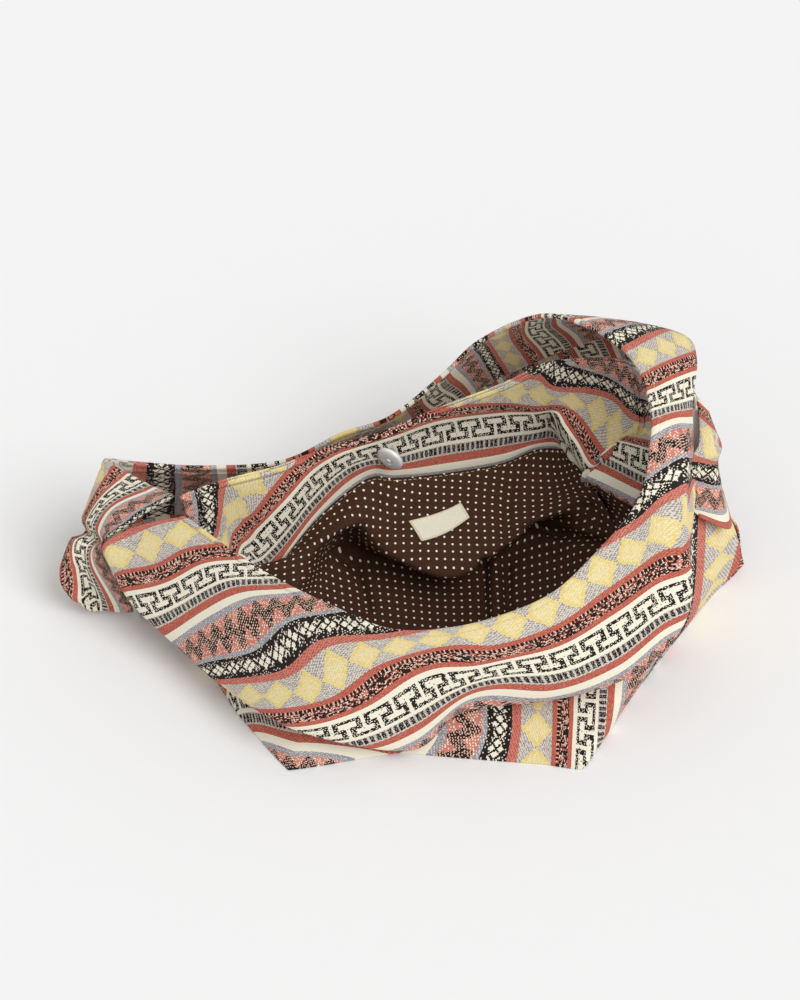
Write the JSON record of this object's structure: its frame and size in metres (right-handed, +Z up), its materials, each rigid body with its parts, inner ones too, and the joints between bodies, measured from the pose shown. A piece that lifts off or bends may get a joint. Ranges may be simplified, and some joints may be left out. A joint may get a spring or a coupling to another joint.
{
  "type": "hobo bag",
  "caption": "Slouched fabric hobo bag lying with its mouth open, wide shoulder strap folded behind it, dotted lining, magnetic snap and metal strap slider.",
  "frame": {"origin": "middle of the bag's bounding box, on the floor it lies on", "axes": "+X along the bag's length to the right of a viewer in front of its open mouth, +Y to the strap behind it, +Z up"},
  "size_m": [0.4416, 0.2784, 0.175],
  "materials": {
    "jacquard": "woven jacquard with striped bands of diamonds, meanders, zigzags and small leaves",
    "lining": "brown cotton with off-white dots",
    "label": "plain woven label",
    "metal": "polished nickel"
  },
  "bodies": {
    "bag": {"front_panel": "jacquard", "back_panel": "jacquard", "base_panel": "jacquard", "strap": "jacquard", "strap_tail": "jacquard", "front_facing": "jacquard", "back_facing": "jacquard", "lining": "lining", "label": "label", "snap_socket": "metal", "snap_stud": "metal", "socket_washer": "metal", "stud_washer": "metal"},
    "slider": {"slider": "metal"}
  },
  "joints": [
    {"name": "slider_along_strap", "type": "slide", "parent": "bag", "child": "slider", "axis": [0.0202, -0.0504, -0.9985], "range_m": [0, 0.028]}
  ]
}
